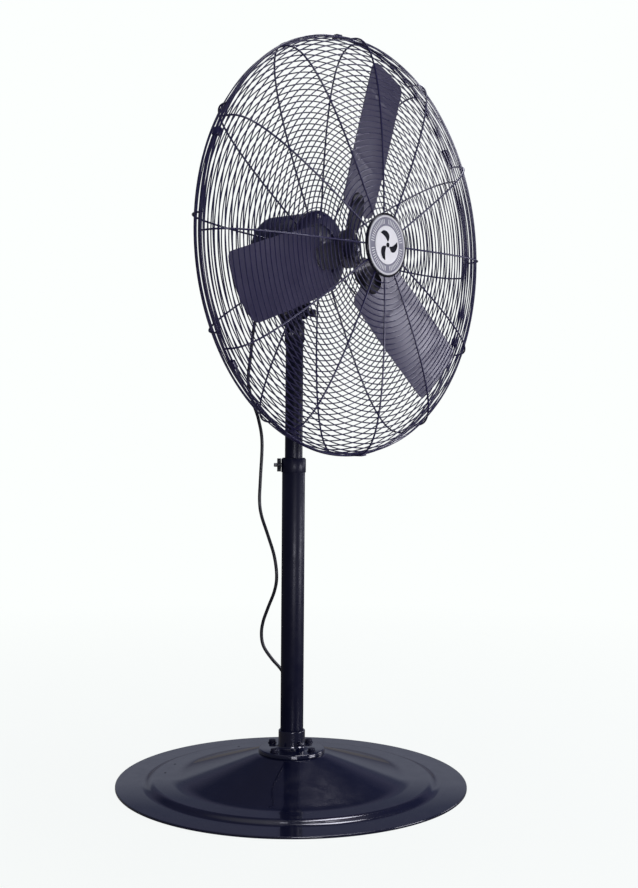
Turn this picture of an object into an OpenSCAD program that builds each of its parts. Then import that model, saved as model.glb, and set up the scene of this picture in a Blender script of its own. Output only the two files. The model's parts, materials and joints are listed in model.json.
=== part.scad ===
// Pedestal fan: a 30 inch caged head on a telescoping pole and a pressed round base.
// The origin is the centre of the base on the floor, +Z is up, and the fan blows towards -Y.

/* [Stand] */
// Outer diameter of the pressed base plate
base_d = 724; // [700:2:760]
// Outside diameter of the lower, fixed pole
outer_pole_d = 47.5; // [46:0.5:50]
// Outside diameter of the upper, sliding pole
inner_pole_d = 36.5; // [34:0.5:38]
// Height of the top edge of the fixed pole above the floor
outer_pole_top = 655; // [620:5:700]

/* [Head] */
// Height of the fan's axis above the floor at rest
axis_h = 1093; // [1080:1:1110]
// Height of the tilt bolt above the floor at rest
tilt_h = 976; // [972:1:980]
// Outside diameter of the motor shell
motor_d = 160; // [156:1:164]

/* [Guard] */
// Diameter of the guard rim, measured between wire centres
rim_d = 822; // [810:2:830]
// Distance from the pole axis forward to the seam between the guard halves
seam_f = 143; // [140:1:146]
// Depth of the front half, from the seam to its face
front_depth = 87; // [84:1:90]
// Number of ribs in each half
rib_count = 12; // [10:1:14]
// Spacing of the fine ring wires along a rib
ring_pitch = 11; // [10:0.5:14]

/* [Blades] */
// Diameter swept by the blade tips
sweep_d = 744; // [730:1:750]
// Number of blades
blade_count = 3; // [3:1:3]
// Width of one blade across its tip
blade_w = 136; // [128:1:140]
// Pitch of the blades at mid span, in degrees
blade_pitch = 11; // [8:1:13]
// Angle of the first blade from straight up, clockwise from the front
blade_rest = 12.5; // [0:0.5:119]

/* [Hidden] */
$fn = 96;

// Colours
black = "#15151a";
charcoal = "#3a3a40";
steel = "#b8bcc2";
silver = "#d8dade";
copper = "#a8632f";
iron = "#55565a";
nylon = "#e4e0d6";

// Base plate: sheet thickness, the heights of its levels and the radii where they meet
base_r = base_d / 2;
sheet = 2.5;
crown_z = 65;
crown_r = 70;
cone_r = 241;
plateau_z = 13;
plateau_r = 290;
riser_r = 309;
rim_z = 4.5;
base_hole_r = 14;
accessory_r = 264;
accessory_hole_r = 2.6;

// Pole flange and its bolts
flange_r = 69;
flange_t = 8;
flange_top = crown_z + flange_t;
socket_r = 27.5;
socket_top = flange_top + 37;
bolt_circle = 54;
bolt_r = 4;
bolt_hole_r = 4.4;
washer_t = 1.6;
hex_r = 7.5;
hex_h = 5.5;
pole_seat = crown_z + 2;
fit = 0.1;

// Poles, collar and mast
outer_r = outer_pole_d / 2;
outer_bore = outer_r - 2;
inner_r = inner_pole_d / 2;
inner_wall = 2;
inner_bottom = 330;
inner_top = 948;
collar_z = 644;
collar_h = 30;
collar_r = 25.4;
knob_z = 659;
knob_dir = 131;
mast_head_r = 20.5;
mast_head_bottom = 912;
mast_head_top = 957;
post_r = 14;
post_bottom = 914;
tongue_w = 44;
tongue_r = 12.5;
tongue_base = 966;
gland_z = 940;
gland_up = 42;

// Tilt joint
cheek_t = 5;
cheek_x = tongue_w / 2 + 1.8;
cheek_r = 15;
tilt_bolt_r = 4;

// Motor, measured forward from the pole axis
motor_r = motor_d / 2;
shell_t = 2;
shell_rear = -46;
shell_front = 44;
bell_front = 62;
bell_rear = -60;
stator_rear = -26;
stator_front = 22;
rotor_r = 43.5;
stator_bore = 44;
shaft_r = 6.35;
shaft_rear = -57;
shaft_front = 164;
bearing_r = 16;
bearing_w = 10;
boss_r = 21;

// Guard: wire sizes and the curve that both halves follow
rim_r = rim_d / 2;
rim_wire = 5.2;
rib_w = 3.6;
ring_wire = 2.4;
carrier_wire = 3;
guard_power = 3.2;
plate_f = bell_front + 2;
rear_depth = seam_f - plate_f - rib_w / 2;
hub_ring_out = 82;
hub_ring_in = 56;
face_ring_out = 60;
face_ring_in = 34;
front_rib_angle = 91.5;
rear_rib_angle = 87;
clip_angle = 35;
badge_r = 62.5;
badge_f = seam_f + front_depth + rib_w / 2 + 0.2;

// Blades
tip_r = sweep_d / 2;
blade_t = 1.8;
blade_f = 140;
blade_rake = 5.5;
blade_root = 80;
root_half = 64;
camber_r = 420;
camber_drop = 4;
hub_r = 21;

// Mains cord: diameter and the route of the stretch that is not folded away
cord_d = 7;
cord_gap = 0.25;
route = [
    [0, 26, 956.2], [0, 38, 967], [0, 54, 979.5], [0, 74, 987], [0, 95, 982], [0, 109, 965],
    [0, 117, 935], [0, 123, 890], [0, 130, 845], [0, 127, 817], [0, 115, 787], [0, 99, 751],
    [0, 89, 704], [0, 93, 627], [0, 95, 581], [0, 89, 549], [0, 70, 508], [0, 52, 466],
    [0, 45, 425], [0, 51, 393], [0, 69, 356], [0, 83, 324], [0, 87, 297], [4, 84, 272],
    [18, 74, 246], [40, 64, 218], [60, 59, 180], [73, 64, 140], [81, 71, 100], [92, 80, 70],
    [107, 93, 52], [128, 112, 39.4], [158, 138, 26.4], [185, 161, 17.4], [218, 191, 17],
    [244, 212, 10.4], [268, 233, 8.4], [297, 246, 4.6], [320, 254, 3.7], [338, 267, 3.6]
];
// Last stretch from the hank to the plug, in the hank's own frame
tail = [[146, -3, 24.4], [158, -1, 23], [170, 0, 19], [182, 0, 15.2], [192, 0, 14]];
hank_along = 41.1;
hank_from = 443;
hank_run = 126;
fold_r = 21;
hank_layers = 4;
plug_from = 192;
plug_z = 14;
plug_len = 48;
tube_sides = 8;

// ---- helpers ----

// Puts its children in the head's frame: x is right, y is up and z is forward along the fan's axis.
module facing() translate([0, 0, axis_h]) rotate([90, 0, 0]) children();

module ring(r_out, r_in, h) difference() {
    cylinder(h = h, r = r_out);
    translate([0, 0, -1]) cylinder(h = h + 2, r = r_in);
}

module tube_between(z0, z1, r_out, r_in) translate([0, 0, z0]) ring(r_out, r_in, z1 - z0);

module hex_head(r, h) cylinder(h = h, r = r, $fn = 6);

module around(n, r, start = 0) for (i = [0:n - 1])
    rotate([0, 0, start + i * 360 / n]) translate([r, 0, 0]) children();

// Point on the guard's profile, as [radius, distance from the seam], for a half of the given depth
function guard_point(a, r, depth) = [r * pow(cos(a), 2 / guard_power), depth * pow(sin(a), 2 / guard_power)];

// Walk along the profile: the angle steps are fine near both ends, where the curve turns quickly
walk_n = 90;
function walk(r, depth) = [for (i = [0:walk_n]) guard_point(90 * (1 - cos(180 * i / walk_n)) / 2, r, depth)];
function lengths(p, i = 0, sum = 0) = i >= len(p) - 1 ? [sum]
    : concat([sum], lengths(p, i + 1, sum + norm(p[i + 1] - p[i])));
function at_length(s, p, l) = [
    lookup(s, [for (i = [0:len(p) - 1]) [l[i], p[i][0]]]),
    lookup(s, [for (i = [0:len(p) - 1]) [l[i], p[i][1]]])
];

// Outline of one rib, a strip between two copies of the profile, cut off at radius inner
rib_n = 30;
function rib_edge(r, depth) = [for (i = [0:rib_n]) guard_point(90 * i / rib_n, r, depth)];
module rib_outline(depth, inner) difference() {
    polygon(concat(
        rib_edge(rim_r + rib_w / 2, depth + rib_w / 2),
        [for (i = [rib_n:-1:0]) guard_point(90 * i / rib_n, rim_r - rib_w / 2, depth - rib_w / 2)]
    ));
    translate([-1, -1]) square([inner + 1, depth + rib_w + 2]);
}

module guard_ribs(depth, inner, start) for (i = [0:rib_count - 1])
    rotate([0, 0, start + i * 360 / rib_count]) rotate([90, 0, 0])
        linear_extrude(rib_w, center = true) rib_outline(depth, inner);

// Distances along the profile, from the seam, at which the fine rings lie
ring_inset = rib_w / 2 + ring_wire / 2 + 0.4;
function ring_stops(depth, inner) =
    let (p = walk(rim_r - ring_inset, depth - ring_inset), l = lengths(p))
    [for (s = [ring_pitch:ring_pitch:l[len(l) - 1]]) let (q = at_length(s, p, l)) if (q[0] > inner) q];

module guard_rings(depth, inner) rotate_extrude()
    for (q = ring_stops(depth, inner)) translate(q) circle(d = ring_wire, $fn = 6);

// Rings that carry the ribs: [radius of the ring's centre, its distance from the seam]
module carrier_rings(depth) rotate_extrude() {
    translate([rim_r, rim_wire / 2]) circle(d = rim_wire, $fn = 8);
    for (a = [38, 56, 71]) translate(guard_point(a, rim_r, depth)) circle(d = carrier_wire, $fn = 8);
}

// ---- stand ----

module base_plate() color(black) difference() {
    rotate_extrude() polygon([
        [base_hole_r, crown_z], [crown_r, crown_z], [crown_r + 6, crown_z - 1.2],
        [cone_r - 8, plateau_z + 2.2], [cone_r, plateau_z + 0.6], [cone_r + 8, plateau_z],
        [plateau_r, plateau_z], [plateau_r + 6, plateau_z - 1], [riser_r - 5, rim_z + 1.2],
        [riser_r + 2, rim_z], [base_r - 2, rim_z], [base_r, rim_z - 1.5], [base_r, 0],
        [base_r - sheet, 0], [base_r - sheet, rim_z - sheet], [riser_r, rim_z - sheet],
        [riser_r - 7, rim_z - sheet + 1.2], [plateau_r + 4, plateau_z - sheet - 1],
        [plateau_r - 1, plateau_z - sheet], [cone_r + 7, plateau_z - sheet],
        [cone_r - 1, plateau_z - sheet + 0.6], [cone_r - 9, plateau_z - sheet + 2.2],
        [crown_r + 5, crown_z - sheet - 1.2], [crown_r - 1, crown_z - sheet], [base_hole_r, crown_z - sheet]
    ]);
    around(4, bolt_circle) translate([0, 0, crown_z - sheet - 1]) cylinder(h = sheet + 2, r = bolt_hole_r);
    for (a = [-37, -22, 22, 37]) rotate([0, 0, 90 + a])
        translate([accessory_r, 0, plateau_z - sheet - 1]) cylinder(h = sheet + 2, r = accessory_hole_r);
}

module pole_flange() color(black) difference() {
    rotate_extrude() polygon([
        [0, crown_z], [flange_r - 1, crown_z], [flange_r, crown_z + 1.5], [flange_r - 0.5, flange_top - 2],
        [flange_r - 3, flange_top - 0.4], [flange_r - 6, flange_top], [socket_r + 3, flange_top],
        [socket_r + 0.8, flange_top + 2.5], [socket_r, flange_top + 6], [socket_r, socket_top - 2],
        [socket_r - 1.5, socket_top], [0, socket_top]
    ]);
    translate([0, 0, pole_seat]) cylinder(h = 60, r = outer_r + fit);
    translate([0, 0, crown_z - 1]) cylinder(h = 10, r = base_hole_r);
    around(4, bolt_circle) translate([0, 0, crown_z - 1]) cylinder(h = flange_t + 2, r = bolt_hole_r);
    for (s = set_screws) rotate([0, 0, s[0]]) translate([outer_r - 2, 0, s[1]])
        rotate([0, 90, 0]) cylinder(h = 10, r = s[2]);
}

// Set screws in the socket: [direction, height, radius of the shank]
set_screws = [[255, flange_top + 12, 3], [75, flange_top + 12, 3]];
module flange_set_screws() color(black) for (s = set_screws) rotate([0, 0, s[0]]) translate([0, 0, s[1]])
    rotate([0, 90, 0]) {
        translate([0, 0, outer_r + 0.05]) cylinder(h = socket_r - outer_r + 1, r = s[2] - 0.05);
        translate([0, 0, socket_r + 0.05]) hex_head(5.2, 4.5);
    }

module flange_bolts() color(black) around(4, bolt_circle) {
    translate([0, 0, crown_z - sheet - 12]) cylinder(h = sheet + 12 + flange_t + washer_t + 1, r = bolt_r);
    translate([0, 0, flange_top + washer_t]) intersection() {
        hex_head(hex_r, hex_h);
        cylinder(h = hex_h, r1 = hex_r + 2, r2 = hex_r - 0.8);
    }
}

module flange_washers() color(black) around(4, bolt_circle)
    translate([0, 0, flange_top]) ring(9, bolt_r + 0.2, washer_t);

module flange_nuts() color(steel) around(4, bolt_circle) translate([0, 0, crown_z - sheet - 6.6])
    difference() {
    hex_head(hex_r, 6.6);
    translate([0, 0, -1]) cylinder(h = 9, r = bolt_r + 0.02);
}

module clamp_hole() rotate([0, 0, knob_dir]) translate([10, 0, knob_z])
    rotate([0, 90, 0]) cylinder(h = 30, r = 4.1);

module outer_pole() color(black) difference() {
    tube_between(pole_seat, outer_pole_top, outer_r, outer_bore);
    clamp_hole();
}

module pole_collar() color(black) difference() {
    translate([0, 0, collar_z]) rotate_extrude() polygon([
        [0, 0], [collar_r, 0], [collar_r, collar_h - 3], [collar_r - 2.5, collar_h], [0, collar_h]
    ]);
    translate([0, 0, collar_z - 1]) cylinder(h = outer_pole_top - collar_z + 4.1, r = outer_r + fit);
    cylinder(h = 900, r = inner_r + 0.6);
    clamp_hole();
}

module collar_bushing() color(nylon) difference() {
    union() {
        tube_between(outer_pole_top - 45, outer_pole_top, outer_bore - fit, inner_r + 0.08);
        tube_between(outer_pole_top, outer_pole_top + 3, outer_r - 0.5, inner_r + 0.08);
    }
    clamp_hole();
}

// The screw passes through the collar and the bushing and bears on the sliding pole.
module clamp_screw() color(steel) rotate([0, 0, knob_dir]) translate([0, 0, knob_z]) rotate([0, 90, 0])
    rotate_extrude() polygon([
        [0, inner_r + 0.3], [3, inner_r + 0.3], [4, inner_r + 1.3], [4, 39.5], [3.2, 41], [0, 41]
    ]);

module clamp_knob() color(black) rotate([0, 0, knob_dir]) translate([0, 0, knob_z]) rotate([0, 90, 0])
    translate([0, 0, collar_r + 0.6]) difference() {
        union() {
            cylinder(h = 8, r = 13);
            around(6, 11.6, 30) cylinder(h = 8, r = 3.4, $fn = 32);
        }
        translate([0, 0, -1]) cylinder(h = 12, r = 4.05);
    }

// ---- mast ----

module inner_pole() color(black) tube_between(inner_bottom, inner_top, inner_r, inner_r - inner_wall);

module mast_glide() color(nylon)
    tube_between(inner_bottom - 14, inner_bottom, outer_bore - 0.06, inner_r - inner_wall);

module mast_head() color(black) difference() {
    union() {
        translate([0, 0, mast_head_bottom]) rotate_extrude() polygon([
            [0, 0], [mast_head_r - 1, 0], [mast_head_r, 1.2],
            [mast_head_r, mast_head_top - mast_head_bottom - 1.2],
            [mast_head_r - 1.2, mast_head_top - mast_head_bottom], [0, mast_head_top - mast_head_bottom]
        ]);
        intersection() {
            translate([0, 8, gland_z]) rotate([-90 + gland_up, 0, 0]) cylinder(h = 22, r = 8.5);
            cylinder(h = mast_head_top, r = 50);
        }
    }
    translate([0, 0, mast_head_bottom - 1])
        cylinder(h = inner_top - mast_head_bottom + 1.05, r = inner_r + fit);
    translate([0, 0, mast_head_bottom]) cylinder(h = 80, r = post_r + 0.05);
    translate([0, 8, gland_z]) rotate([-90 + gland_up, 0, 0]) cylinder(h = 30, r = 5.1);
    rotate([0, 0, 200]) translate([10, 0, mast_head_bottom + 16])
        rotate([0, 90, 0]) cylinder(h = 20, r = 3.05);
}

module mast_pin() color(steel) rotate([0, 0, 200]) translate([inner_r + 0.2, 0, mast_head_bottom + 16])
    rotate([0, 90, 0]) {
        cylinder(h = mast_head_r - inner_r, r = 3);
        translate([0, 0, mast_head_r - inner_r - 0.1]) cylinder(h = 2.2, r1 = 4.6, r2 = 3.4);
    }

// Tapered strain relief that leaves the mast head towards the back and upwards
module cord_gland() color(black) translate([0, 8, gland_z]) rotate([-90 + gland_up, 0, 0]) difference() {
    rotate_extrude() polygon([
        [0, 13.5], [5, 13.5], [5, 22.1], [8, 22.1], [8, 25.5], [6.2, 26.5], [4.7, 46], [4.4, 47], [0, 47]
    ]);
    translate([0, 0, 10]) cylinder(h = 50, r = cord_d / 2 + cord_gap);
}

// ---- neck ----

module neck_post() color(black) difference() {
    union() {
        translate([0, 0, post_bottom]) cylinder(h = mast_head_top - post_bottom + 0.3, r = post_r);
        translate([0, 0, mast_head_top + 0.3])
            cylinder(h = tongue_base - mast_head_top + 1, r = post_r + 2);
        translate([-tongue_w / 2, 0, tilt_h]) rotate([0, 90, 0]) cylinder(h = tongue_w, r = tongue_r);
        translate([-tongue_w / 2, -tongue_r, tongue_base])
            cube([tongue_w, 2 * tongue_r, tilt_h - tongue_base]);
    }
    translate([-40, 0, tilt_h]) rotate([0, 90, 0]) cylinder(h = 80, r = tilt_bolt_r + 0.04);
    translate([0, 0, post_bottom - 1]) cylinder(h = 46, r = 8);
}

module tilt_bolt() color(steel) translate([0, 0, tilt_h]) rotate([0, 90, 0]) {
    translate([0, 0, -cheek_x - cheek_t - 2]) cylinder(h = 2 * (cheek_x + cheek_t) + 26, r = tilt_bolt_r);
    translate([0, 0, -cheek_x - cheek_t - 7.6]) hex_head(7.4, 5.6);
}

module tilt_washers() color(steel) translate([0, 0, tilt_h]) rotate([0, 90, 0]) {
    translate([0, 0, -cheek_x - cheek_t - 1.9]) ring(9, tilt_bolt_r + 0.1, 1.5);
    translate([0, 0, cheek_x + cheek_t + 0.4]) ring(9, tilt_bolt_r + 0.1, 1.5);
}

knob_x = cheek_x + cheek_t + 2.3;
module tilt_knob() color(black) translate([knob_x, 0, tilt_h]) rotate([0, 90, 0]) difference() {
    union() {
        rotate_extrude() polygon([
            [0, 0], [7.2, 0], [7.6, 3], [6.2, 10], [7.4, 17], [8, 23], [8, 28], [6.6, 30], [0, 30]
        ]);
        around(3, 4.6, 90) translate([0, 0, 16]) cylinder(h = 13, r = 4.6, $fn = 32);
    }
    translate([0, 0, -1]) cylinder(h = 24, r = tilt_bolt_r + 0.04);
}

// ---- head ----

module motor_bracket() color(black) difference() {
    union() {
        for (s = [-1, 1]) translate([s > 0 ? cheek_x : -cheek_x - cheek_t, 0, tilt_h]) {
            rotate([0, 90, 0]) cylinder(h = cheek_t, r = cheek_r);
            translate([0, -cheek_r, 0]) cube([cheek_t, 2 * cheek_r, axis_h - tilt_h - 78]);
        }
        intersection() {
            facing() translate([0, 0, -34]) cylinder(h = 68, r = motor_r + 5.2);
            translate([-34, -34, tilt_h + 20]) cube([68, 68, 60]);
        }
    }
    facing() translate([0, 0, -60]) cylinder(h = 120, r = motor_r + fit);
    translate([-60, 0, tilt_h]) rotate([0, 90, 0]) cylinder(h = 120, r = tilt_bolt_r + 0.04);
}

bracket_spots = [for (x = [-1, 1], f = [-24, 24]) [x, f]];
module bracket_screws() color(steel) facing() for (b = bracket_spots)
    rotate([0, 0, -90 + b[0] * 18]) translate([0, 0, b[1]]) rotate([0, 90, 0])
        translate([0, 0, motor_r + 5.25]) cylinder(h = 3, r1 = 4.5, r2 = 3.2);

module motor_shell() color(black) facing() translate([0, 0, shell_rear])
    ring(motor_r, motor_r - shell_t, shell_front - shell_rear);

module bell(depth, vents) difference() {
    rotate_extrude() polygon([
        [0, depth], [boss_r, depth], [motor_r - 17, depth], [motor_r - 9, depth - 1.5],
        [motor_r - 3, depth - 6],
        [motor_r, depth - 12], [motor_r, 0.1], [motor_r - 2.2, 0.1], [motor_r - 2.2, -4],
        [motor_r - 4.4, -4], [motor_r - 4.4, depth - 12], [motor_r - 8, depth - 7],
        [motor_r - 17, depth - 3.2], [boss_r, depth - 3.2], [boss_r, depth - 14], [0, depth - 14]
    ]);
    translate([0, 0, depth - 15]) cylinder(h = bearing_w + 1.5, r = bearing_r);
    translate([0, 0, depth - 20]) cylinder(h = 40, r = shaft_r + 1.5);
    if (vents) around(10, 46, 9) translate([0, 0, depth - 6]) union() {
        translate([-9, -3, 0]) cube([18, 6, 12]);
        for (x = [-9, 9]) translate([x, 0, 0]) cylinder(h = 12, r = 3, $fn = 32);
    }
    around(4, motor_r - 10, 45) translate([0, 0, -8]) cylinder(h = depth + 20, r = 2.7);
}

module front_bell() color(black) facing() translate([0, 0, shell_front])
    bell(bell_front - shell_front, false);

module rear_bell() color(black) facing() translate([0, 0, shell_rear]) mirror([0, 0, 1])
    bell(shell_rear - bell_rear, true);

module through_bolts() color(steel) facing() around(4, motor_r - 10, 45) {
    translate([0, 0, bell_rear - 3]) cylinder(h = bell_front - bell_rear + 3, r = 2.4);
    translate([0, 0, bell_rear - 3.1]) hex_head(4.6, 3.5);
}

module stator_core() color(iron) facing() translate([0, 0, stator_rear]) difference() {
    cylinder(h = stator_front - stator_rear, r = motor_r - shell_t - 0.1);
    translate([0, 0, -1]) cylinder(h = stator_front - stator_rear + 2, r = stator_bore);
    around(4, motor_r - 10, 45) translate([0, 0, -1]) cylinder(h = 80, r = 3);
}

module stator_windings() color(copper) facing() for (z = [stator_front, stator_rear - 12])
    translate([0, 0, z]) rotate_extrude() polygon([[48, 0], [66, 0], [66, 8], [62, 12], [52, 12], [48, 8]]);

module bearing() {
    ring(bearing_r - 0.02, bearing_r - 3.4, bearing_w);
    ring(shaft_r + 3, shaft_r + 0.02, bearing_w);
    translate([0, 0, 2]) ring(bearing_r - 3.4, shaft_r + 3, bearing_w - 4);
}

module front_bearing() color(steel) facing() translate([0, 0, bell_front - 13.6]) bearing();

module rear_bearing() color(steel) facing() translate([0, 0, bell_rear + 3.6]) bearing();

// Oval capacitor on the right of the motor shell
module capacitor() color(charcoal) facing() translate([motor_r + 0.2, 14, -30]) difference() {
    union() {
        for (y = [-11, 11]) translate([12, y, 0]) cylinder(h = 46, r = 12, $fn = 48);
        translate([0, -11, 0]) cube([24, 22, 46]);
    }
    translate([-motor_r - 0.2, -14, -1]) cylinder(h = 60, r = motor_r + 0.1);
}

// Shallow box on the back of the motor that holds the speed switch
box_back = -84;
module switch_box() color(black) facing() difference() {
    translate([0, 0, box_back]) rotate_extrude() polygon([
        [0, 0], [33, 0], [36, 3], [38, bell_rear - box_back - 0.1], [35, bell_rear - box_back - 0.1],
        [33.5, 4.5], [32, 2.4], [0, 2.4]
    ]);
    translate([0, 14, box_back - 1]) cylinder(h = 6, r = 3.2);
}

module switch_shaft() color(steel) facing() translate([0, 14, box_back + 2.6]) {
    translate([-10, -10, 0]) cube([20, 20, 10]);
    translate([0, 0, -8.2]) cylinder(h = 9, r = 3);
}

module speed_knob() color(black) facing() translate([0, 14, box_back - 15.3]) difference() {
    union() {
        cylinder(h = 15, r1 = 11, r2 = 13);
        translate([-2.4, -10.5, -2]) cube([4.8, 21, 4]);
    }
    translate([0, 0, 9]) cylinder(h = 12, r = 3.05);
}

module guard_mount_plate() color(black) facing() translate([0, 0, bell_front + 0.05]) difference() {
    cylinder(h = 1.9, r = 84);
    translate([0, 0, -1]) cylinder(h = 6, r = 22);
    around(4, motor_r - 10, 45) translate([0, 0, -1]) cylinder(h = 6, r = 2.9);
    around(4, 71, 5) translate([0, 0, -1]) cylinder(h = 6, r = 2.6);
}

module guard_screws() color(steel) facing() around(4, 71, 5) {
    translate([0, 0, bell_front + 0.1]) cylinder(h = 7, r = 2.4);
    translate([0, 0, plate_f + rib_w + 0.05]) cylinder(h = 2.8, r1 = 5, r2 = 3.4);
}

// The rear half is drawn from the seam backwards and the front half from the seam forwards.
module rear_guard_frame() color(black) facing() difference() {
    translate([0, 0, seam_f]) mirror([0, 0, 1]) union() {
        guard_ribs(rear_depth, hub_ring_in + 2, rear_rib_angle);
        carrier_rings(rear_depth);
        translate([0, 0, rear_depth - rib_w / 2]) ring(hub_ring_out, hub_ring_in, rib_w);
    }
    translate([0, 0, seam_f - 0.1]) cylinder(h = 20, r = rim_r + 20);
    around(4, 71, 5) translate([0, 0, plate_f - 1]) cylinder(h = 8, r = 2.6);
}

module rear_guard_rings() color(black) facing() translate([0, 0, seam_f]) mirror([0, 0, 1])
    guard_rings(rear_depth, hub_ring_out + 3);

module front_guard_frame() color(black) facing() difference() {
    translate([0, 0, seam_f]) union() {
        guard_ribs(front_depth, face_ring_in + 2, front_rib_angle);
        carrier_rings(front_depth);
        translate([0, 0, front_depth - rib_w / 2]) ring(face_ring_out, face_ring_in, rib_w);
    }
    translate([0, 0, seam_f - 20 + 0.1]) cylinder(h = 20, r = rim_r + 20);
}

module front_guard_rings() color(black) facing() translate([0, 0, seam_f])
    guard_rings(front_depth, face_ring_out + 3);

// Six spring clips that hold the two rims together
clip_in = rim_wire / 2 + 0.2;
module guard_clips() color(black) facing() for (i = [0:5]) rotate([0, 0, clip_angle + 60 * i])
    rotate_extrude(angle = 2.2) translate([rim_r, seam_f]) difference() {
        square([2 * clip_in + 2.4, 4 * clip_in + 2.4], center = true);
        square([2 * clip_in, 4 * clip_in], center = true);
        translate([-clip_in - 4, -2]) square([6, 4]);
    }

module badge_plate() color(black) facing() translate([0, 0, badge_f]) rotate_extrude() polygon([
    [4, 0], [badge_r - 2, 0], [badge_r, 1.6], [badge_r, 4.2], [badge_r - 1.2, 5.6], [badge_r - 3.2, 5.2],
    [badge_r - 4.2, 3], [4, 2.4]
]);

module badge_face() color(silver) facing() translate([0, 0, badge_f + 3.05]) rotate_extrude() polygon([
    [0, 0], [badge_r - 4.5, 0.3], [badge_r - 4.5, 1.4], [badge_r - 9, 2.6], [badge_r - 20, 2.2],
    [badge_r - 22, 3], [0, 3.4]
]);

module badge_stud() color(steel) facing() {
    translate([0, 0, badge_f - 12]) cylinder(h = 15, r = 3.6);
    translate([0, 0, badge_f - 6]) ring(38, 3, 2);
}

// ---- rotor ----

module rotor_core() color(iron) facing() translate([0, 0, stator_rear])
    ring(rotor_r, shaft_r + 0.02, stator_front - stator_rear);

module shaft() color(steel) facing() translate([0, 0, shaft_rear])
    cylinder(h = shaft_front - shaft_rear, r = shaft_r);

module blade_hub() color(black) facing() difference() {
    union() {
        translate([0, 0, blade_f - 18]) cylinder(h = 36, r = hub_r - 3);
        translate([0, 0, blade_f - 5]) cylinder(h = 4.6, r = hub_r + 17);
    }
    translate([0, 0, blade_f - 30]) cylinder(h = 60, r = shaft_r + 0.02);
    translate([0, 0, blade_f + 11]) rotate([0, 90, 0]) cylinder(h = 40, r = 3.05);
    around(6, 31) translate([0, 0, blade_f - 8]) cylinder(h = 20, r = 2.55);
}

module hub_set_screw() color(steel) facing() translate([shaft_r + 0.1, 0, blade_f + 11])
    rotate([0, 90, 0]) cylinder(h = 10, r = 3);

// Blade frame: x runs out along the blade, y runs to its forward edge and z is forward.
module blade_frame(i) facing() rotate([0, 0, 90 - blade_rest - i * 360 / blade_count])
    translate([0, 0, blade_f]) children();

module pitched() rotate([0, -blade_rake, 0]) rotate([blade_pitch, 0, 0]) children();

// Flat arms of the spider, one under each blade, with a raised rib down the middle
module blade_spider() color(charcoal) union() {
    facing() translate([0, 0, blade_f - 0.35]) ring(hub_r + 17, hub_r - 2.9, 3);
    for (i = [0:blade_count - 1]) blade_frame(i) {
        translate([24, -13, -0.35]) cube([22, 26, 3]);
        pitched() translate([40, 0, -2.2]) linear_extrude(3) polygon([
            [0, -20], [22, -27], [64, -22], [74, -10], [74, 10], [64, 22], [22, 27], [0, 20]
        ]);
    }
}

// Outline of a blade: a straight-sided paddle, slightly wider at the tip, with rounded corners
half_w = blade_w / 2;
module blade_outline() intersection() {
    polygon([
        [blade_root, -root_half + 18], [blade_root + 5, -root_half + 5], [blade_root + 18, -root_half],
        [190, -half_w], [tip_r - 20, -half_w], [tip_r - 9, -half_w + 4], [tip_r - 4, -half_w + 14],
        [tip_r + 6, 0], [tip_r - 4, half_w - 20], [tip_r - 11, half_w - 6], [tip_r - 26, half_w],
        [190, half_w], [blade_root + 18, root_half], [blade_root + 5, root_half - 5],
        [blade_root, root_half - 18]
    ]);
    circle(r = tip_r);
}

// The blade is a sheet curved across its width, cut to the outline.
module blade(i) color(charcoal) blade_frame(i) pitched() intersection() {
    translate([0, 0, -30]) linear_extrude(60) blade_outline();
    translate([0, 0, camber_r - camber_drop]) rotate([0, 90, 0])
        ring(camber_r + blade_t / 2, camber_r - blade_t / 2, tip_r + 20);
}
module blade_1() blade(0);
module blade_2() blade(1);
module blade_3() blade(2);

module blade_rivets() color(steel) for (i = [0:blade_count - 1]) blade_frame(i) pitched()
    for (p = [[92, -14], [92, 14], [106, 0]]) translate([p[0], p[1], -6.5]) {
        cylinder(h = 6, r = 2.4);
        translate([0, 0, -1]) cylinder(h = 2, r1 = 3.2, r2 = 4.8);
    }

// ---- cord ----

function mid_point(p, i, t) =
    let (a = p[max(i - 1, 0)], b = p[i], c = p[min(i + 1, len(p) - 1)], d = p[min(i + 2, len(p) - 1)])
    0.5 * (2 * b + (c - a) * t + (2 * a - 5 * b + 4 * c - d) * t * t + (3 * b - a - 3 * c + d) * t * t * t);
function along(p, k, n) = let (s = k * (len(p) - 1) / n, i = min(floor(s), len(p) - 2))
    mid_point(p, i, s - i);
function unit(v) = v / norm(v);
function ring_at(c, dir, r) =
    let (side = unit(cross(dir, [0.3, -0.2, 0.9])), other = cross(dir, side))
    [for (a = [0:360 / tube_sides:359]) c + r * (cos(a) * side + sin(a) * other)];

module tube(way, steps) {
    c = [for (k = [0:steps]) along(way, k, steps)];
    n = len(c);
    m = tube_sides;
    dirs = [for (k = [0:n - 1]) unit(c[min(k + 1, n - 1)] - c[max(k - 1, 0)])];
    points = [for (k = [0:n - 1]) each ring_at(c[k], dirs[k], cord_d / 2)];
    walls = [for (k = [0:n - 2], j = [0:m - 1])
        [k * m + j, k * m + (j + 1) % m, (k + 1) * m + (j + 1) % m, (k + 1) * m + j]];
    ends = [[for (j = [m - 1:-1:0]) j], [for (j = [0:m - 1]) (n - 1) * m + j]];
    polyhedron(points, concat(walls, ends));
}

module cord_run() color(black) tube(route, 79);

module cord_tail() color(black) in_line() tube(tail, 12);

// The spare length is folded into a hank on the floor, in line with the cord's last stretch.
module in_line() rotate([0, 0, hank_along]) translate([hank_from, 0, 0]) children();

module cord_hank() color(black) in_line() linear_extrude(hank_h) union() {
    translate([0, -hank_w / 2]) square([hank_run, hank_w]);
    for (x = [0, hank_run]) translate([x, 0]) circle(d = hank_w);
}

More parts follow.
